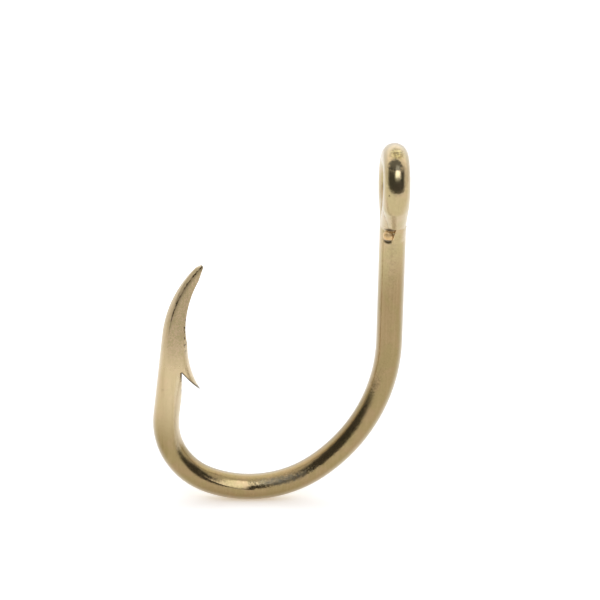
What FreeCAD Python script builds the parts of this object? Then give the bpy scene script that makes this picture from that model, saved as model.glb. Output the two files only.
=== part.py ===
import FreeCAD, Part
import math
import os

# A heavy short-shank bait hook, bent from one round steel wire and closed at the
# eye with braze. Millimetres and degrees, +Z up along the shank. The origin is the
# centre of the ring eye; the bend lies in the XZ plane with the point towards -X,
# and the ring stands in the YZ plane, so a line runs through the eye along X.

# Wire and ring eye
WIRE_D = 2.6              # drawn wire, the same from the eye to the point
EYE_HOLE_D = 3.0          # mandrel that the ring is closed round
MANDREL_SINK = 0.08       # how far the mandrel flattens the inside of the ring
NECK_RADIUS = 2.0         # bend that carries the shank back into the ring
RING_CLOSE_TURN = 32.0    # turn of the ring past its front, before the free end
END_SIDE_RADIUS = 3.0     # the free end swings a little off the shank's middle
END_SIDE_TURN = 4.0
TAPER_LENGTH = 3.1        # drawn-down free end, before it is trimmed
TAPER_END_D = 1.93
LAP_LENGTH = 2.45         # down the shank, where the free end is cut off square

# Shank, bend and leg, all on the wire's centreline
SHANK_LENGTH = 16.0       # centre of the eye to the start of the bend
HEEL_RADIUS = 16.6
HEEL_TURN = 54.0
BASE_RADIUS = 11.6
BASE_TURN = 56.5
FRONT_RADIUS = 6.7
FRONT_TURN = 75.5
LEG_LENGTH = 8.4
POINT_RADIUS = 10.2       # inward curl of the point
POINT_TURN = 41.5

# Ground point, on the curl
TIP_INSET = 0.22          # tip, in from the outer surface of the wire
TIP_WIDTH = 0.24          # blunt end of the tip, along the plane of the bend
TIP_BEVEL_TURN = 3.0      # part of the curl that the outer bevel takes
EDGE_START = 1.0          # inner face starts this far below the curl
EDGE_MID_TURN = 11.0      # up the curl, where the point is EDGE_MID_WIDTH wide
EDGE_MID_WIDTH = 1.94
EDGE_TOP_TURN = 7.0       # short of the tip, where it is EDGE_TOP_WIDTH wide
EDGE_TOP_WIDTH = 1.08
FLAT_START = 8.2          # the wire is pressed flat from this far below the curl
FLAT_FULL = 5.4           # and has its full flats from here
ROUND_HALF = 1.32         # half the envelope's thickness where the flats run out
FLAT_HALF = 1.02          # half the thickness across the flats
TIP_HALF = 0.22
THIN_LATE = 2.5           # power of the way along the curl that thins the point
BACK_EDGE = 0.6           # edge between back and side facets, from the outer surface
BACK_EDGE_TIP = 0.16
BACK_RIDGE = 0.07         # the back facets meet this far outside the wire
RIDGE_HALF = 0.03         # half the width of the ridge where they meet, at the tip
SIDE_LEAN = 0.36          # slope at the tip of the side facets to the inner edge
SIDE_REACH = 4.4          # width of the side facets' planes, at the wire and at the tip
SIDE_REACH_TIP = 0.55
FACET_SECTIONS = 9

# Barb: a slice lifted out of the inner side of the leg, measured down from the curl
BARB_ROOT = 0.6           # start of the lifted slice
BARB_ROOT_DEPTH = 0.06    # the slice starts this deep in the wire
BARB_MID = 3.0
BARB_MID_RISE = 0.49
BARB_TIP = 5.27
BARB_TIP_RISE = 1.71
NOTCH = 3.5               # root of the cut under the barb
NOTCH_DEPTH = 0.28
SCOOP_END = 6.4           # lower end of the chisel's scoop below the barb

# Braze
BRAZE_FILM = 0.08         # gap that the braze fills between the lapped wires
FILL_D = 2.56             # braze in the lap, from the start of the taper
FILL_BEHIND = 0.16        # top of the filling, behind the axis of the taper
FILL_PROUD = 0.05         # foot of the filling, proud of the shank
RAMP_LENGTH = 1.7         # braze that runs from the cut end down to the shank
RAMP_TOP_D = 2.36
RAMP_TOP_SIDE = 0.1       # top of the ramp, to the far side of the shank's axis
RAMP_TOP_BEHIND = 0.16    # and behind the axis of the free end
RAMP_BOTTOM_D = 2.4
RAMP_SINK = 0.06          # foot of the ramp, into the shank
RAMP_EDGE_TOP = 0.2       # inner edge of the ramp, to the far side of the axis
RAMP_EDGE_SLANT = 0.45
BEAD_D = 1.15
BEAD_DROP = 0.85          # centre of the bead below the cut end
BEAD_OFFSET = 0.48        # to the bend's side of the shank's axis
BEAD_HEIGHT = 0.35        # above the shank's surface

WIRE_R = WIRE_D / 2
EYE_HOLE_R = EYE_HOLE_D / 2
RING_R = EYE_HOLE_R + WIRE_R - MANDREL_SINK
REACH = WIRE_D            # how far a cutting tool stands clear of the wire

UP = FreeCAD.Vector(0, 0, 1)
ACROSS = FreeCAD.Vector(1, 0, 0)
BACK = FreeCAD.Vector(0, 1, 0)
FRONT = FreeCAD.Vector(0, -1, 0)


class Walk:
    """A point that moves along the wire, with its heading and the side it turns to."""

    def __init__(self, at, along, side):
        self.at = at
        self.along = along
        self.side = side

    def straight(self, length):
        return Walk(self.at + self.along * length, self.along, self.side)

    def turned(self, radius, turn):
        angle = math.radians(turn)
        centre = self.centre(radius)
        along = self.along * math.cos(angle) + self.side * math.sin(angle)
        side = self.side * math.cos(angle) - self.along * math.sin(angle)
        return Walk(centre - side * radius, along, side)

    def other_side(self):
        return Walk(self.at, self.along, self.side * -1)

    def centre(self, radius):
        return self.at + self.side * radius

    def place(self, forward, sideways):
        return self.at + self.along * forward + self.side * sideways


def rod(start, length, radius=WIRE_R):
    return Part.makeCylinder(radius, length, start.at, start.along)


def elbow(start, bend_radius, turn, radius=WIRE_R):
    circle = Part.makeCircle(radius, start.at, start.along)
    section = Part.Face(Part.Wire(circle))
    axis = start.along.cross(start.side)
    return section.revolve(start.centre(bend_radius), axis, turn)


def slab(edges, half_thickness):
    """A plate across the plane of the bend, with the given outline."""
    face = Part.Face(Part.Wire(edges))
    face.translate(BACK * -half_thickness)
    return face.extrude(BACK * 2 * half_thickness)


def polygon(points):
    return Part.makePolygon(points + points[:1])


def outline(points):
    return polygon(points).Edges


def join(solids):
    return solids[0].fuse(solids[1:]).removeSplitter()


# Centreline of the wire: down the shank, round the bend and up the leg
BEND = Walk(UP * -SHANK_LENGTH, UP * -1, ACROSS * -1)
BASE = BEND.turned(HEEL_RADIUS, HEEL_TURN)
FRONT_BEND = BASE.turned(BASE_RADIUS, BASE_TURN)
LEG = FRONT_BEND.turned(FRONT_RADIUS, FRONT_TURN)
CURL = LEG.straight(LEG_LENGTH)

# Centreline of the eye: up the shank, back through the neck and over to the front
NECK_TURN = math.degrees(math.acos(NECK_RADIUS / (NECK_RADIUS + RING_R)))
NECK_DROP = (NECK_RADIUS + RING_R) * math.sin(math.radians(NECK_TURN))
NECK = Walk(UP * -NECK_DROP, UP, BACK)
RING = NECK.turned(NECK_RADIUS, NECK_TURN).other_side()
RING_TURN = 180 + NECK_TURN + RING_CLOSE_TURN
RING_END = RING.turned(RING_R, RING_TURN)
SIDE_BEND = Walk(RING_END.at, RING_END.along, ACROSS)
TAPER = SIDE_BEND.turned(END_SIDE_RADIUS, END_SIDE_TURN)
CUT_END = TAPER.straight(LAP_LENGTH / -TAPER.along.z)


def eye_bore():
    """The round mandrel that the ring is closed on."""
    return Part.makeCylinder(EYE_HOLE_R, 2 * REACH, ACROSS * -REACH, ACROSS)


def ring_eye():
    """Neck, ring and drawn-down end, with the end scarfed clear of the shank."""
    taper = Part.makeCone(WIRE_R, TAPER_END_D / 2, TAPER_LENGTH, TAPER.at, TAPER.along)
    clear = WIRE_R + BRAZE_FILM
    shank_room = rod(NECK.straight(-TAPER_LENGTH), TAPER_LENGTH, clear)
    neck_room = elbow(NECK, NECK_RADIUS, NECK_TURN, clear)
    trim = Part.makeBox(2 * REACH, 2 * REACH, 2 * REACH)
    trim.translate(CUT_END.at - FreeCAD.Vector(REACH, REACH, 2 * REACH))
    taper = taper.cut(join([shank_room, neck_room, trim]))
    loop = join([
        elbow(NECK, NECK_RADIUS, NECK_TURN),
        elbow(RING, RING_R, RING_TURN),
        elbow(SIDE_BEND, END_SIDE_RADIUS, END_SIDE_TURN),
        taper,
    ])
    return loop.cut(eye_bore())


def curl_place(turn, inset):
    """A place on the curl, measured in from the outer surface of the wire."""
    return CURL.turned(POINT_RADIUS, turn).place(0, inset - WIRE_R)


def barb(wire):
    """The slice is round outside like the wire, flat and sharp underneath."""
    def on_leg(below_curl, rise):
        return CURL.place(-below_curl, WIRE_R + rise)

    root = on_leg(BARB_ROOT, -BARB_ROOT_DEPTH)
    middle = on_leg(BARB_MID, BARB_MID_RISE)
    tip = on_leg(BARB_TIP, BARB_TIP_RISE)
    notch = on_leg(NOTCH, -NOTCH_DEPTH)
    back = Part.Arc(root, middle, tip).toShape()
    centre = back.Curve.Center
    back_radius = back.Curve.Radius + WIRE_R
    inward = (centre - root).normalize()
    heading = inward.cross(BACK)
    if heading.dot(tip - root) < 0:
        heading = heading * -1
    slice_start = Walk(root - inward * WIRE_R, heading, inward)
    spread = (root - centre).getAngle(tip - centre)
    round_back = elbow(slice_start, back_radius, math.degrees(spread))
    wedge = slab([
        back,
        Part.makeLine(tip, notch),
        Part.makeLine(notch, CURL.place(-NOTCH, 0)),
        Part.makeLine(CURL.place(-NOTCH, 0), CURL.place(-BARB_ROOT, 0)),
        Part.makeLine(CURL.place(-BARB_ROOT, 0), root),
    ], REACH)
    scoop = slab(outline([
        notch,
        tip,
        on_leg(SCOOP_END, BARB_TIP_RISE),
        on_leg(SCOOP_END, 0),
    ]), REACH)
    return join([wire.cut(scoop), round_back.common(wedge)])


def facet_section(station, back_edge, side_reach, halves):
    """Section of the point's envelope, half as thick as halves at its three pairs of corners."""
    insets = [-BACK_RIDGE, back_edge, back_edge + side_reach]
    corners = [station.place(0, inset - WIRE_R) for inset in insets]
    front = [corner + FRONT * half for corner, half in zip(corners, halves)]
    rear = [corner + BACK * half for corner, half in zip(corners, halves)]
    return polygon(front + rear[::-1])


def facets():
    """Envelope of the point: flats on the leg that run on into back and side facets."""
    flats = [
        facet_section(CURL.straight(-FLAT_START), BACK_EDGE, SIDE_REACH, [ROUND_HALF] * 3),
        facet_section(CURL.straight(-FLAT_FULL), BACK_EDGE, SIDE_REACH, [FLAT_HALF] * 3),
        facet_section(CURL, BACK_EDGE, SIDE_REACH, [FLAT_HALF] * 3),
    ]
    sides = []
    for step in range(FACET_SECTIONS):
        share = step / (FACET_SECTIONS - 1)
        station = CURL.turned(POINT_RADIUS, share * POINT_TURN)
        back_edge = BACK_EDGE + (BACK_EDGE_TIP - BACK_EDGE) * share
        side_reach = SIDE_REACH + (SIDE_REACH_TIP - SIDE_REACH) * share
        edge_half = FLAT_HALF - (FLAT_HALF - TIP_HALF) * share ** THIN_LATE
        back_half = RIDGE_HALF + (edge_half - RIDGE_HALF) * (1 - share)
        inner_half = edge_half - SIDE_LEAN * share * side_reach
        halves = [back_half, edge_half, inner_half]
        sides.append(facet_section(station, back_edge, side_reach, halves))
    return join([Part.makeLoft(flats, True, True), Part.makeLoft(sides, True, False)])


def ground_point():
    """Curl of the wire, faceted, with an outer bevel and a hollow inner face."""
    tip = curl_place(POINT_TURN, TIP_INSET)
    bevel_start = curl_place(POINT_TURN - TIP_BEVEL_TURN, 0)
    slope = (tip - bevel_start).normalize()
    outward = FreeCAD.Vector(-slope.z, 0, slope.x)
    bevel = slab(outline([
        bevel_start - slope * REACH,
        tip + slope * REACH,
        tip + slope * REACH + outward * REACH,
        bevel_start - slope * REACH + outward * REACH,
    ]), REACH)

    start = CURL.place(-EDGE_START, WIRE_R)
    middle = curl_place(EDGE_MID_TURN, EDGE_MID_WIDTH)
    top = curl_place(POINT_TURN - EDGE_TOP_TURN, EDGE_TOP_WIDTH)
    end = curl_place(POINT_TURN, TIP_INSET + TIP_WIDTH)
    behind_start = start + CURL.side * REACH
    behind_end = end + CURL.side * REACH
    inner_face = slab([
        Part.Arc(start, middle, top).toShape(),
        Part.makeLine(top, end),
        Part.makeLine(end, behind_end),
        Part.makeLine(behind_end, behind_start),
        Part.makeLine(behind_start, start),
    ], REACH)

    below = rod(CURL.straight(-FLAT_START), FLAT_START)
    point = join([below, elbow(CURL, POINT_RADIUS, POINT_TURN)])
    return barb(point.cut([bevel, inner_face])).common(facets())


def hook_wire():
    """One bent and ground wire, from the tip of the point to the lapped end."""
    shank = rod(NECK.straight(-(SHANK_LENGTH - NECK_DROP)), SHANK_LENGTH - NECK_DROP)
    bend = join([
        shank,
        elbow(BEND, HEEL_RADIUS, HEEL_TURN),
        elbow(BASE, BASE_RADIUS, BASE_TURN),
        elbow(FRONT_BEND, FRONT_RADIUS, FRONT_TURN),
    ])
    leg = rod(LEG, LEG_LENGTH - FLAT_START)
    return join([ring_eye(), bend, leg, ground_point()])


def lap_braze(wire):
    """Braze in the lap, and the ramp that it makes from the cut end to the shank."""
    fill_top = TAPER.at + BACK * FILL_BEHIND
    fill_bottom = FreeCAD.Vector(0, FILL_D / 2 - WIRE_R - FILL_PROUD, CUT_END.at.z)
    run = fill_bottom - fill_top
    fill = Part.makeCylinder(FILL_D / 2, run.Length, fill_top, run)

    ramp_top = FreeCAD.Vector(RAMP_TOP_SIDE, CUT_END.at.y + RAMP_TOP_BEHIND, CUT_END.at.z)
    foot = RAMP_BOTTOM_D / 2 - WIRE_R + RAMP_SINK
    level = CUT_END.at.z
    ramp_bottom = FreeCAD.Vector(0, foot, level - RAMP_LENGTH)
    run = ramp_bottom - ramp_top
    above = ramp_top - run * (RAMP_TOP_D / 2 / run.Length)
    run = ramp_bottom - above
    ramp = Part.makeCone(RAMP_TOP_D / 2, RAMP_BOTTOM_D / 2, run.Length, above, run)
    side = slab(outline([
        FreeCAD.Vector(RAMP_EDGE_TOP, 0, level),
        FreeCAD.Vector(RAMP_EDGE_TOP - RAMP_EDGE_SLANT, 0, level - RAMP_LENGTH),
        FreeCAD.Vector(REACH, 0, level - RAMP_LENGTH),
        FreeCAD.Vector(REACH, 0, level),
    ]), REACH)
    return join([fill, ramp.common(side)]).cut([wire, eye_bore()])


def braze_bead(wire, braze):
    """The drop of braze that ran out below the cut end."""
    depth = math.sqrt(WIRE_R ** 2 - BEAD_OFFSET ** 2)
    forward = depth + BEAD_HEIGHT - BEAD_D / 2
    level = UP * (CUT_END.at.z - BEAD_DROP)
    centre = level + FRONT * forward - ACROSS * BEAD_OFFSET
    return Part.makeSphere(BEAD_D / 2, centre).cut([wire, braze])


os.makedirs("parts", exist_ok=True)
WIRE = hook_wire()
BRAZE = lap_braze(WIRE)
PIECES = {
    "hook_wire": WIRE,
    "lap_braze": BRAZE,
    "braze_bead": braze_bead(WIRE, BRAZE),
}
for name, shape in PIECES.items():
    shape.exportStep(f"parts/{name}.step")
    print(name, len(shape.Solids), round(shape.Volume, 3), shape.isValid(), shape.BoundBox)
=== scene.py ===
import bpy
import math
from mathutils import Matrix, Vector


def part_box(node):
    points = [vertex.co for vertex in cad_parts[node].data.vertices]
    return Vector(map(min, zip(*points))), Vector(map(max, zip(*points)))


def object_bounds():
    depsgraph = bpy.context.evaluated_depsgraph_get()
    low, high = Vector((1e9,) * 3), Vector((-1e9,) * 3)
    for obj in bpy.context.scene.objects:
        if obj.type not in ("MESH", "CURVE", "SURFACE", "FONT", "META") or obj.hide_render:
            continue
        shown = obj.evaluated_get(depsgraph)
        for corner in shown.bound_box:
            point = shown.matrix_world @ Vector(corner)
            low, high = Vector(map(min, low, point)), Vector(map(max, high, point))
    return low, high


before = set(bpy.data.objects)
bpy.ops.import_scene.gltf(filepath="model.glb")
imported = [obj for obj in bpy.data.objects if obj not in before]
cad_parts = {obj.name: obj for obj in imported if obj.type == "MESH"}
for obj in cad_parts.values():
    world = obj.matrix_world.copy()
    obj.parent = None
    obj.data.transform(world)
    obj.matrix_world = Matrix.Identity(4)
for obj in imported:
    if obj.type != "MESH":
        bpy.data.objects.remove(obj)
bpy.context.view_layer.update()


# ---------------------------------------------------------------- hook wire
# One length of round high-carbon steel wire: ground to a point, cut for the
# barb, bent, and closed into a ring. A satin bronze-gold plating a few
# micrometres thick covers it, scratched and rubbed where it was handled,
# with painted light and shade on it in places.
to_millimetres = 1000           # places and lengths in the materials are in millimetres
wire_radius = 1.3
curl_radius = 10.2              # inward curl of the point
curl_centre = (-11.02, 0.0, -16.65)
base_centre = (-13.66, 0.0, -20.04)     # of the bend's bottom arc
notch_root = (-20.51, 0.0, -19.17)      # of the cut under the barb
out_of_cut = (0.739, 0.0, 0.674)
along_barb = (0.674, 0.0, -0.739)

gold = (0.515, 0.405, 0.226, 1)
olive_gold = (0.470, 0.405, 0.200, 1)
rose_gold = (0.550, 0.405, 0.250, 1)
grain_brown = (0.38, 0.27, 0.13, 1)
bend_shade = (0.66, 0.62, 0.54, 1)
leg_shade = (0.80, 0.77, 0.68, 1)
leg_light_pale = (0.74, 0.59, 0.37, 1)
corner_light_pale = (0.92, 0.82, 0.62, 1)
scuff_and_shade_grey = (0.17, 0.15, 0.105, 1)
line_brown = (0.42, 0.31, 0.16, 1)
ground_olive = (0.45, 0.375, 0.18, 1)
ground_rose = (0.67, 0.495, 0.32, 1)
ground_shade = (0.20, 0.15, 0.07, 1)
crown_olive = (0.56, 0.46, 0.20, 1)
fold_brown = (0.30, 0.19, 0.05, 1)
reflection_black = (0.09, 0.075, 0.045, 1)
dirt_black = (0.075, 0.052, 0.026, 1)
rim_sheen_pale = (0.90, 0.86, 0.74, 1)

plating_roughness = 0.17
relief = 0.00004                # metres for each unit of height
relief_strength = 0.8


def add_node(tree, kind, **settings):
    """A new node with its settings, and its inputs from a dictionary named inputs."""
    values = settings.pop("inputs", {})
    node = tree.nodes.new("ShaderNode" + kind)
    for name, value in settings.items():
        setattr(node, name, value)
    for socket, value in values.items():
        if isinstance(value, bpy.types.NodeSocket):
            tree.links.new(value, node.inputs[socket])
        else:
            node.inputs[socket].default_value = value
    return node


def maths(tree, operation, first, second=0.0, clamp=False):
    node = add_node(tree, "Math", operation=operation, use_clamp=clamp,
                    inputs={0: first, 1: second})
    return node.outputs["Value"]


def product(tree, first, *others):
    for other in others:
        first = maths(tree, "MULTIPLY", first, other)
    return first


def vector_maths(tree, operation, first, second=(0, 0, 0)):
    """The vector, or the number where the operation gives one."""
    node = add_node(tree, "VectorMath", operation=operation, inputs={0: first, 1: second})
    gives_number = operation in ("LENGTH", "DOT_PRODUCT")
    return node.outputs["Value" if gives_number else "Vector"]


def parts_of(tree, vector):
    return add_node(tree, "SeparateXYZ", inputs={"Vector": vector}).outputs


def ramp(tree, value, low, high, start=0.0, end=1.0):
    """From start at low to end at high, eased and held outside them."""
    node = add_node(tree, "MapRange", interpolation_type="SMOOTHSTEP", inputs={
        "Value": value, "From Min": low, "From Max": high, "To Min": start, "To Max": end,
    })
    return node.outputs["Result"]


def slope(tree, value, low, high, end=1.0):
    """From 0 at low to end at high, straight and held outside them."""
    node = add_node(tree, "MapRange", inputs={
        "Value": value, "From Min": low, "From Max": high, "To Max": end,
    })
    return node.outputs["Result"]


def noise(tree, at, scale, detail, roughness=0.5, distortion=0.0):
    node = add_node(tree, "TexNoise", inputs={
        "Vector": at, "Scale": scale, "Detail": detail,
        "Roughness": roughness, "Distortion": distortion,
    })
    return node.outputs["Fac"]


def blend_colour(tree, factor, first, second, how="MIX"):
    node = add_node(tree, "Mix", data_type="RGBA", blend_type=how)
    for socket, value in ((0, factor), (6, first), (7, second)):
        if isinstance(value, bpy.types.NodeSocket):
            tree.links.new(value, node.inputs[socket])
        else:
            node.inputs[socket].default_value = value
    return node.outputs[2]


def shade_colour(tree, factor, colour, shade):
    """The colour, multiplied by the shade where the factor is 1."""
    shaded = blend_colour(tree, 1.0, colour, shade, "MULTIPLY")
    return blend_colour(tree, factor, colour, shaded)


def painted_rim_sheen(tree, colour):
    """Painted sheen: the plating is painted paler where it turns away from the eye."""
    turned_away = add_node(tree, "LayerWeight").outputs["Facing"]
    return blend_colour(tree, ramp(tree, turned_away, 0.25, 0.85, 0.0, 0.36), colour, rim_sheen_pale)


def new_group(name, takes, gives):
    """An empty shader group whose inputs are (name, kind, value) and outputs (name, kind)."""
    group = bpy.data.node_groups.new(name, "ShaderNodeTree")
    for label, kind, value in takes:
        socket = group.interface.new_socket(
            label, in_out="INPUT", socket_type="NodeSocket" + kind)
        socket.default_value = value
    for label, kind in gives:
        group.interface.new_socket(label, in_out="OUTPUT", socket_type="NodeSocket" + kind)
    group_in = group.nodes.new("NodeGroupInput")
    group_out = group.nodes.new("NodeGroupOutput")
    return group, group_in.outputs, group_out.inputs


def put_group(tree, group, **inputs):
    """The outputs of a group placed in a tree; its inputs are given in small letters."""
    node = tree.nodes.new("ShaderNodeGroup")
    node.node_tree = group
    for name, value in inputs.items():
        socket = node.inputs[name.capitalize()]
        if isinstance(value, bpy.types.NodeSocket):
            tree.links.new(value, socket)
        else:
            socket.default_value = value
    return node.outputs


def new_metal(name):
    """A plated metal: its material, node tree, shader and place on the piece."""
    material = bpy.data.materials.new(name)
    material.use_nodes = True
    tree = material.node_tree
    shader = tree.nodes["Principled BSDF"]
    shader.inputs["Metallic"].default_value = 1.0
    metres = add_node(tree, "TexCoord").outputs["Object"]
    at = add_node(tree, "Mapping", inputs={
        "Vector": metres, "Scale": (to_millimetres,) * 3,
    }).outputs["Vector"]
    return material, tree, shader, at


def dress(node_name, material):
    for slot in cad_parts[node_name].material_slots:
        slot.material = material


# Satin grain of the plating: fine pimples, broader waves, and a drift of its tint.
grain, grain_in, grain_out = new_group(
    "satin_grain",
    (("Place", "Vector", (0, 0, 0)), ("Fineness", "Float", 4.0), ("Waves", "Float", 0.5)),
    (("Height", "Float"), ("Tone", "Float"), ("Tint", "Float")),
)
pimples = noise(grain, grain_in["Place"], grain_in["Fineness"], 3.0, 0.6)
waves = noise(grain, grain_in["Place"], 0.9, 1.0)
drift = noise(grain, grain_in["Place"], 0.55, 2.0, distortion=0.6)
wave_height = product(grain, waves, grain_in["Waves"])
pimple_height = product(grain, pimples, 0.3)
grain.links.new(maths(grain, "ADD", pimple_height, wave_height), grain_out["Height"])
grain.links.new(ramp(grain, pimples, 0.3, 0.7), grain_out["Tone"])
grain.links.new(ramp(grain, drift, 0.35, 0.65), grain_out["Tint"])

# A patch with a ragged edge, for stains, nicks and burrs: 1 inside, 0 outside.
patch, patch_in, patch_out = new_group(
    "ragged_patch",
    (("Place", "Vector", (0, 0, 0)), ("Centre", "Vector", (0, 0, 0)),
     ("Size", "Vector", (1, 1, 1)), ("Ragged", "Float", 0.3), ("Edge", "Float", 0.2)),
    (("Mask", "Float"),),
)
from_centre = vector_maths(patch, "SUBTRACT", patch_in["Place"], patch_in["Centre"])
in_sizes = vector_maths(patch, "DIVIDE", from_centre, patch_in["Size"])
away = vector_maths(patch, "LENGTH", in_sizes)
tatters = noise(patch, patch_in["Place"], 3.5, 2.0)
raggedness = product(patch, patch_in["Ragged"], maths(patch, "SUBTRACT", tatters, 0.5))
edge_at = maths(patch, "ADD", away, raggedness)
inside = maths(patch, "DIVIDE", maths(patch, "SUBTRACT", 1.0, edge_at), patch_in["Edge"], True)
patch.links.new(inside, patch_out["Mask"])

# Pits and specks of dirt, scattered thinly.
specks, specks_in, specks_out = new_group(
    "specks",
    (("Place", "Vector", (0, 0, 0)), ("Spacing", "Float", 0.5), ("Radius", "Float", 0.06)),
    (("Mask", "Float"),),
)
cells = add_node(specks, "TexVoronoi", inputs={
    "Vector": specks_in["Place"], "Scale": specks_in["Spacing"],
})
chance = add_node(specks, "SeparateColor", inputs={"Color": cells.outputs["Color"]}).outputs["Red"]
speck_size = product(specks, specks_in["Radius"], chance)
past_speck = maths(specks, "SUBTRACT", cells.outputs["Distance"], speck_size)
specks.links.new(ramp(specks, past_speck, 0.0, 0.03, 1.0, 0.0), specks_out["Mask"])

# The plating itself: gold that drifts between olive and rose.
plated_wire, skin, skin_shader, place = new_metal("bronze_gold_plating")
split = parts_of(skin, place)
skin_grain = put_group(skin, grain, place=place, fineness=5.0, waves=0.6)
tint = blend_colour(skin, skin_grain["Tint"], olive_gold, rose_gold)
colour = blend_colour(skin, 0.45, gold, tint)
colour = blend_colour(skin, product(skin, skin_grain["Tone"], 0.22), colour, grain_brown)

# Painted shade: darker from the middle of the shank round to the front of the bend,
# and on the leg's outer half; painted light: paler on the leg. Both stand in for how
# bright the reflections there are.
shade_from = maths(skin, "ADD", product(skin, split["X"], 0.68), -8.5)
below_shade_edge = maths(skin, "SUBTRACT", split["Z"], shade_from)
colour = shade_colour(skin, ramp(skin, below_shade_edge, 3.0, -3.0), colour, bend_shade)
# Painted shade on the leg's outer half.
leg_side_shade = product(skin, ramp(skin, split["X"], -21.6, -22.6),
                   ramp(skin, split["X"], -17.0, -19.0), ramp(skin, split["Z"], -17.0, -20.0))
colour = shade_colour(skin, leg_side_shade, colour, leg_shade)
# Painted light: paler on the leg.
leg_light = product(skin, ramp(skin, split["X"], -15.0, -18.0), ramp(skin, split["Z"], -28.0, -22.0))
colour = blend_colour(skin, product(skin, leg_light, 0.40), colour, leg_light_pale)

# The bottom of the bend is pressed a little flat, and rubbed rough behind that.
from_base = vector_maths(skin, "SUBTRACT", place, base_centre)
base_reach = vector_maths(skin, "LENGTH", vector_maths(skin, "MULTIPLY", from_base, (1, 0, 1)))
slant = product(skin, maths(skin, "ADD", split["X"], 14.4), 0.08)
bend_rise = maths(skin, "SUBTRACT", slant, base_reach)
bend_place = add_node(skin, "CombineXYZ", inputs={
    "X": split["X"], "Y": split["Y"], "Z": bend_rise,
}).outputs["Vector"]
pressed = product(skin, ramp(skin, split["X"], -18.8, -16.8), ramp(skin, split["X"], -12.9, -14.1))
press_fall = slope(skin, bend_rise, -10.80, -11.39)
press_level = maths(skin, "SUBTRACT", product(skin, press_fall, press_fall), 1.0)
rubbed = put_group(skin, patch, place=bend_place, centre=(-10.3, -1.2, -10.66),
                   size=(3.7, 1.6, 0.50), ragged=0.9, edge=0.6)["Mask"]
# The rubbed patch is painted a scuffed grey: real wear, and painted shade that dims the lamp's
# reflection there.
scuffs = noise(skin, place, 3.0, 3.0, 0.7)
scuffed_and_shaded = product(skin, rubbed, ramp(skin, scuffs, 0.35, 0.60, 0.9, 0.5))
colour = blend_colour(skin, scuffed_and_shaded, colour, scuff_and_shade_grey)

# Drawing lines along the straight wire.
lines_place = add_node(skin, "Mapping", inputs={"Vector": place, "Scale": (5.0, 5.0, 0.12)})
lines = noise(skin, lines_place.outputs["Vector"], 1.0, 2.0)
colour = blend_colour(skin, ramp(skin, lines, 0.48, 0.72, 0.0, 0.32), colour, line_brown)

# Side facets of the point: stone-ground, so rougher, pinker and speckled.
curl_split = parts_of(skin, vector_maths(skin, "SUBTRACT", place, curl_centre))
in_plane = add_node(skin, "CombineXYZ", inputs={"X": curl_split["X"], "Z": curl_split["Z"]})
curl_reach = vector_maths(skin, "LENGTH", in_plane.outputs["Vector"])
inset = maths(skin, "SUBTRACT", curl_radius + wire_radius, curl_reach)
on_point = ramp(skin, curl_split["Z"], -3.5, 1.5)
left_of_curl = ramp(skin, curl_split["X"], -5.0, -6.0)
ground = product(skin, on_point, left_of_curl)
facet = product(skin, ground, ramp(skin, inset, 0.45, 0.6))
speckle = noise(skin, place, 5.5, 4.0, 0.85)
ground_tone = blend_colour(skin, ramp(skin, speckle, 0.42, 0.58), ground_olive, ground_rose)
colour = blend_colour(skin, product(skin, facet, 0.7), colour, ground_tone)

# The facets' outer edge holds a dark line of grinding dirt that grows to the
# tip, and the facets are darker beside it.
line_width = ramp(skin, curl_split["Z"], 0.5, 7.0, 0.01, 0.06)
line_inset = ramp(skin, curl_split["Z"], 0.0, 8.5, 0.60, 0.30)
past_line = maths(skin, "SUBTRACT", inset, line_inset)
ragged_line = product(skin, line_width, ramp(skin, speckle, 0.30, 0.70, 0.0, 1.6))
off_line = maths(skin, "SUBTRACT", maths(skin, "ABSOLUTE", past_line), ragged_line)
dirt_breaks = noise(skin, place, 1.6, 3.0, 0.8)
dirt = product(skin, left_of_curl, ramp(skin, off_line, 0.0, 0.05, 1.0, 0.0),
               ramp(skin, curl_split["Z"], 1.0, 4.0),
               ramp(skin, dirt_breaks, 0.40, 0.55, 0.35, 1.0))
beside_line = product(skin, ground, ramp(skin, past_line, 0.0, 0.5, 0.6, 0.0),
                      ramp(skin, curl_split["Z"], 0.0, 5.0),
                      maths(skin, "GREATER_THAN", inset, line_inset))
colour = blend_colour(skin, beside_line, colour, ground_shade)

# Burrs along the inner edge of the point and under the barb, and painted shade
# along the edge of the cut that lifted the barb.
burr_spots = ramp(skin, noise(skin, place, 2.2, 3.0, 0.8), 0.52, 0.60)
point_burr = put_group(skin, patch, place=place, centre=(-20.22, 0, -15.2),
                       size=(0.24, 2.0, 2.8), ragged=0.4, edge=0.3)["Mask"]
barb_burr = put_group(skin, patch, place=place, centre=(-20.45, 0, -20.8),
                      size=(0.28, 1.2, 1.5), ragged=0.4, edge=0.3)["Mask"]
burrs_and_cut_shade = product(skin, burr_spots, maths(skin, "ADD", point_burr, barb_burr, True))
from_notch = vector_maths(skin, "SUBTRACT", place, notch_root)
over_cut = vector_maths(skin, "DOT_PRODUCT", from_notch, out_of_cut)
along_cut = vector_maths(skin, "DOT_PRODUCT", from_notch, along_barb)
# Painted shade along the cut's edge, where the barb's underside turns out of sight.
cut_edge_shade = product(skin, ramp(skin, over_cut, -0.12, -0.06),
                   ramp(skin, over_cut, 0.06, 0.13, 1.0, 0.0),
                   ramp(skin, along_cut, -0.2, 0.0), ramp(skin, along_cut, 2.6, 3.0, 1.0, 0.0))
burrs_and_cut_shade = maths(skin, "MAXIMUM", burrs_and_cut_shade, cut_edge_shade)

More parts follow.
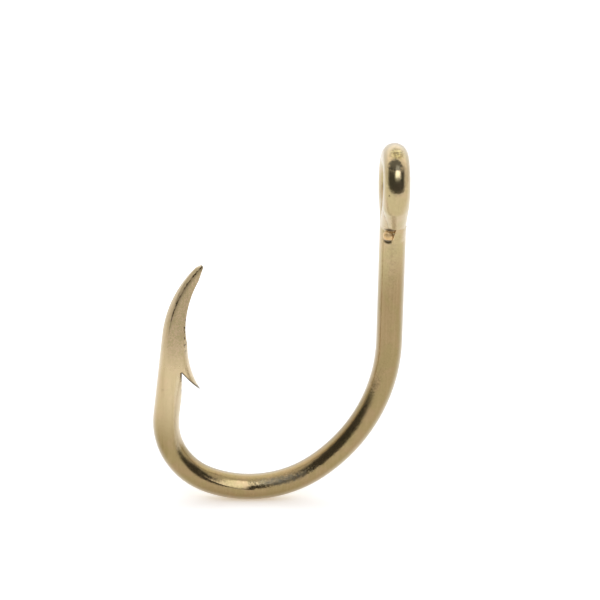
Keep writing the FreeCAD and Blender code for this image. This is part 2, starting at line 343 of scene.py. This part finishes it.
# The leg's inner corner is dulled where the barb was raised out of it, and
# painted paler there: painted light over the dark reflection that it shows.
leg_corner = put_group(skin, patch, place=place, centre=(-20.85, -0.5, -23.6),
                       size=(0.62, 1.2, 5.0), ragged=0.2, edge=0.5)["Mask"]
colour = blend_colour(skin, product(skin, leg_corner, 0.45), colour, corner_light_pale)

# Painted shade in the crevices above and below the drop of braze: under the
# wire's cut end and under the drop.
drop_low, drop_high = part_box("braze_bead")
drop_centre = tuple((drop_low + drop_high) / 2 * to_millimetres)
drop_shade, drop_shade_in, drop_shade_out = new_group(
    "painted_drop_shade",
    (("Place", "Vector", (0, 0, 0)), ("Centre", "Vector", (0, 0, 0)), ("Ragged", "Float", 0.3)),
    (("Mask", "Float"),),
)
drop_shade_place = vector_maths(drop_shade, "SUBTRACT", drop_shade_in["Place"], drop_shade_in["Centre"])
above_drop, below_drop = (
    put_group(drop_shade, patch, place=drop_shade_place, centre=centre, size=size,
              ragged=drop_shade_in["Ragged"], edge=0.45)["Mask"]
    for centre, size in (
        ((0.14, 0.0, 0.72), (0.60, 0.9, 0.22)),
        ((-0.06, 0.0, -0.50), (0.52, 0.6, 0.25)),
    )
)
drop_shade.links.new(maths(drop_shade, "MAXIMUM", above_drop, below_drop), drop_shade_out["Mask"])
# Painted shade round the drop of braze, on the wire.
drop_shade_mask = put_group(skin, drop_shade, place=place, centre=drop_centre, ragged=0.5)["Mask"]

# The ring's crown is crinkled where the closing tool bore on it. Below it, the
# top of the ring's dark reflection of the room is painted on in black.
crown = put_group(skin, patch, place=place, centre=(0.0, -1.9, 3.6),
                  size=(0.86, 1.2, 0.8), ragged=0.6, edge=0.5)["Mask"]
crinkle = noise(skin, place, 2.4, 2.0, distortion=1.2)
from_fold = maths(skin, "ABSOLUTE", maths(skin, "SUBTRACT", crinkle, 0.5))
crown_folds = product(skin, crown, ramp(skin, from_fold, 0.0, 0.08, 1.0, 0.0))
# Painted reflection: the dark of the room on the ring's front, below the crown.
ring_dark_reflection = put_group(skin, patch, place=place, centre=(-0.30, -3.05, 2.72),
                 size=(0.80, 1.0, 0.72), ragged=0.9, edge=0.35)["Mask"]
colour = blend_colour(skin, product(skin, crown, 0.8), colour, crown_olive)
colour = blend_colour(skin, product(skin, crown_folds, 0.95), colour, fold_brown)
colour = blend_colour(skin, product(skin, ring_dark_reflection, 0.95), colour, reflection_black)

# Pits and dirt everywhere, thinly, darkened together with the burrs and the
# painted shade along the barb's cut and round the drop of braze.
pits = put_group(skin, specks, place=place, spacing=0.55, radius=0.07)["Mask"]
dirt_and_shade = product(skin, pits, 0.45)
for mask in (dirt, burrs_and_cut_shade, drop_shade_mask):
    dirt_and_shade = maths(skin, "MAXIMUM", dirt_and_shade, mask)
colour = blend_colour(skin, product(skin, dirt_and_shade, 0.9), colour, dirt_black)
skin.links.new(painted_rim_sheen(skin, colour), skin_shader.inputs["Base Color"])

# Satin where it is whole, and rougher where it is ground, dirty or painted dark,
# rubbed or dulled.
roughness = plating_roughness
for mask, rougher in (
    (skin_grain["Tone"], 0.06), (ground, 0.30), (dirt_and_shade, 0.30), (rubbed, 0.18), (leg_corner, 0.22),
):
    roughness = maths(skin, "ADD", roughness, product(skin, mask, rougher))
skin.links.new(roughness, skin_shader.inputs["Roughness"])

# Fine relief. The flats' run-out tips the front of the leg, and fades to its sides.
run_out = product(skin, slope(skin, split["Z"], -23.7, -20.95, 8.0),
                  ramp(skin, split["X"], -12.0, -15.0))
leg_tilt = add_node(skin, "Bump", inputs={
    "Height": run_out, "Distance": relief,
    "Strength": ramp(skin, split["Y"], -0.2 * wire_radius, -0.8 * wire_radius,
                     0.0, relief_strength),
})
height = skin_grain["Height"]
for bulge in (
    product(skin, facet, speckle, 1.5),
    product(skin, dirt_and_shade, -0.8),
    product(skin, crown_folds, -2.5),
    product(skin, pressed, press_level, 2.8),
    product(skin, rubbed, scuffs, 1.8),
):
    height = maths(skin, "ADD", height, bulge)
bump = add_node(skin, "Bump", inputs={
    "Height": height, "Strength": relief_strength, "Distance": relief,
    "Normal": leg_tilt.outputs["Normal"],
})
skin.links.new(bump.outputs["Normal"], skin_shader.inputs["Normal"])
dress("hook_wire", plated_wire)


# -------------------------------------------------------------------- braze
# Bronze brazing alloy, drawn into the lap between the wire's free end and the
# shank, and a drop of it that ran out below. Both were plated with the wire,
# so they share its colour, but are lumpier, with painted shade in the crevices
# above and below the drop.
braze_olive = (0.49, 0.40, 0.215, 1)
braze_rose = (0.54, 0.405, 0.24, 1)
braze_brown = (0.40, 0.27, 0.12, 1)
drop_tan = (0.84, 0.60, 0.31, 1)
drop_shade_black = (0.075, 0.048, 0.022, 1)

plated_braze, lump, lump_shader, lump_place = new_metal("plated_bronze_braze")
lump_grain = put_group(lump, grain, place=lump_place, fineness=4.0, waves=1.0)
lump_colour = blend_colour(lump, lump_grain["Tint"], braze_olive, braze_rose)
drop = put_group(lump, patch, place=lump_place, centre=drop_centre, size=(0.62, 0.9, 0.62),
                 ragged=0.2, edge=0.15)["Mask"]
lump_colour = blend_colour(lump, drop, lump_colour, drop_tan)
lump_colour = blend_colour(lump, product(lump, lump_grain["Tone"], 0.25), lump_colour, braze_brown)
# Painted shade in the crevices above and below the drop, as on the wire.
lump_drop_shade = put_group(lump, drop_shade, place=lump_place, centre=drop_centre, ragged=0.5)["Mask"]
lump_colour = blend_colour(lump, product(lump, lump_drop_shade, 0.9), lump_colour, drop_shade_black)
lump.links.new(painted_rim_sheen(lump, lump_colour), lump_shader.inputs["Base Color"])

lump_roughness = plating_roughness
for mask, rougher in ((drop, 0.35), (lump_grain["Tone"], 0.12), (lump_drop_shade, 0.3)):
    lump_roughness = maths(lump, "ADD", lump_roughness, product(lump, mask, rougher))
lump.links.new(lump_roughness, lump_shader.inputs["Roughness"])
lump_bump = add_node(lump, "Bump", inputs={
    "Height": lump_grain["Height"], "Strength": 0.6, "Distance": 0.00005,
})
lump.links.new(lump_bump.outputs["Normal"], lump_shader.inputs["Normal"])
dress("lap_braze", plated_braze)
dress("braze_bead", plated_braze)


# ------------------------------------------------------------------- camera
# Looks down on the hook at a slant and a little from the point's side, and is
# turned a degree about its own line of sight.
box_low, box_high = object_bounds()
aim = (box_low + box_high) / 2 + Vector((0.0021, 0.0, 0.0026))
camera_turn = math.radians(3.4)
camera_rise = math.radians(18.0)
camera_roll = math.radians(1.2)
camera_distance = 0.2385
heading = Vector((
    math.cos(camera_rise) * math.sin(camera_turn),
    math.cos(camera_rise) * math.cos(camera_turn),
    -math.sin(camera_rise),
))
camera_data = bpy.data.cameras.new("camera")
camera_data.lens = 145.4
camera_data.sensor_width = 36.0
camera_data.clip_start = 0.01
camera_data.clip_end = 10.0
camera = bpy.data.objects.new("camera", camera_data)
bpy.context.scene.collection.objects.link(camera)
camera.location = aim - heading * camera_distance
camera.rotation_euler = heading.to_track_quat("-Z", "Y").to_euler()
camera.rotation_euler.rotate_axis("Z", camera_roll)
bpy.context.scene.camera = camera


# -------------------------------------------------------------------- floor
# A sheet of matt white paper that the bend rests on. Its front edge lies 14 cm
# in front of the hook, and it glows a little where it is seen or mirrored.
paper_width = 1.2
paper_depth = 0.738
paper_front = -0.138
sheet_white = (0.80, 0.88, 0.97, 1)
sheet_warmth = (0.50, 0.42, 0.33, 1)

bpy.ops.object.select_all(action="DESELECT")
bpy.ops.mesh.primitive_plane_add(size=1, location=(0, paper_front + paper_depth / 2, box_low.z))
floor = bpy.context.object
floor.name = "floor"
floor.scale = (paper_width, paper_depth, 1)
bpy.ops.object.transform_apply(location=True, rotation=True, scale=True)
paper = bpy.data.materials.new("paper")
paper.use_nodes = True
sheet = paper.node_tree
sheet_shader = sheet.nodes["Principled BSDF"]
sheet_shader.inputs["Base Color"].default_value = sheet_white
sheet_shader.inputs["Roughness"].default_value = 0.6
sheet_shader.inputs["Specular IOR Level"].default_value = 0.0
sheet_path = add_node(sheet, "LightPath").outputs
seen = maths(sheet, "MAXIMUM", sheet_path["Is Camera Ray"], sheet_path["Is Glossy Ray"])
seen = maths(sheet, "MAXIMUM", seen, sheet_path["Is Transmission Ray"])
sheet_glow = add_node(sheet, "Emission", inputs={"Color": sheet_warmth, "Strength": seen})
sheet_sum = add_node(sheet, "AddShader", inputs={
    0: sheet_shader.outputs["BSDF"], 1: sheet_glow.outputs["Emission"],
})
sheet.links.new(sheet_sum.outputs["Shader"], sheet.nodes["Material Output"].inputs["Surface"])
floor.data.materials.append(paper)


# --------------------------------------------------------------------- room
# A white tent all round, open on the side that the camera looks in, where
# the unlit room and one soft lamp show.
tent_white = (1, 1, 1, 1)
lamp_white = (0.90, 0.97, 1.12, 1)
room_dark = 0.915               # share of the tent's light that is missing in its opening
lamp_level = 2.8
unmirrored_level = 0.75         # of the tent's light on what doesn't mirror it

world = bpy.data.worlds.new("tent")
bpy.context.scene.world = world
world.use_nodes = True
tent = world.node_tree


def tent_window(value, low, high, soft):
    """1 between low and high degrees, fading to 0 over soft outside them."""
    low, high, soft = (math.radians(angle) for angle in (low, high, soft))
    opens = ramp(tent, value, low - soft, low + soft)
    closes = ramp(tent, value, high - soft, high + soft, 1.0, 0.0)
    return product(tent, opens, closes)


sky = parts_of(tent, add_node(tent, "TexCoord").outputs["Generated"])
azimuth = maths(tent, "ARCTAN2", sky["X"], product(tent, sky["Y"], -1.0))
elevation = maths(tent, "ARCSINE", sky["Z"])
overhead = ramp(tent, elevation, 0.0, math.radians(60), 1.0, 0.6)
square_azimuth = product(tent, azimuth, overhead)
arched = maths(tent, "ADD", elevation, product(tent, maths(tent, "ABSOLUTE", azimuth), 0.30))
opening = product(tent, tent_window(square_azimuth, -86, 62, 12), tent_window(arched, -30, 63, 6))
lamp = product(tent, tent_window(azimuth, -22, 32, 6), tent_window(elevation, 32, 66, 4))
top_light = product(tent, ramp(tent, sky["Y"], -0.2, 0.4),
                    ramp(tent, elevation, math.radians(10), math.radians(40), 0.0, 0.6))
tent_level = maths(tent, "SUBTRACT", 1.0, product(tent, opening, room_dark))
tent_level = maths(tent, "ADD", tent_level, product(tent, lamp, lamp_level))
tent_level = maths(tent, "ADD", tent_level, top_light)
tent_path = add_node(tent, "LightPath").outputs
mirrored = maths(tent, "MAXIMUM", tent_path["Is Glossy Ray"], tent_path["Is Transmission Ray"])
tent_strength = product(tent, tent_level, ramp(tent, mirrored, 0.0, 1.0, unmirrored_level, 1.0))
shown = add_node(tent, "Mix", data_type="FLOAT")
tent.links.new(tent_path["Is Camera Ray"], shown.inputs[0])
tent.links.new(tent_strength, shown.inputs[2])
shown.inputs[3].default_value = 1.0
background = tent.nodes["Background"]
tent.links.new(shown.outputs[0], background.inputs["Strength"])
tent.links.new(blend_colour(tent, lamp, tent_white, lamp_white), background.inputs["Color"])

bpy.context.scene.view_settings.view_transform = "Standard"
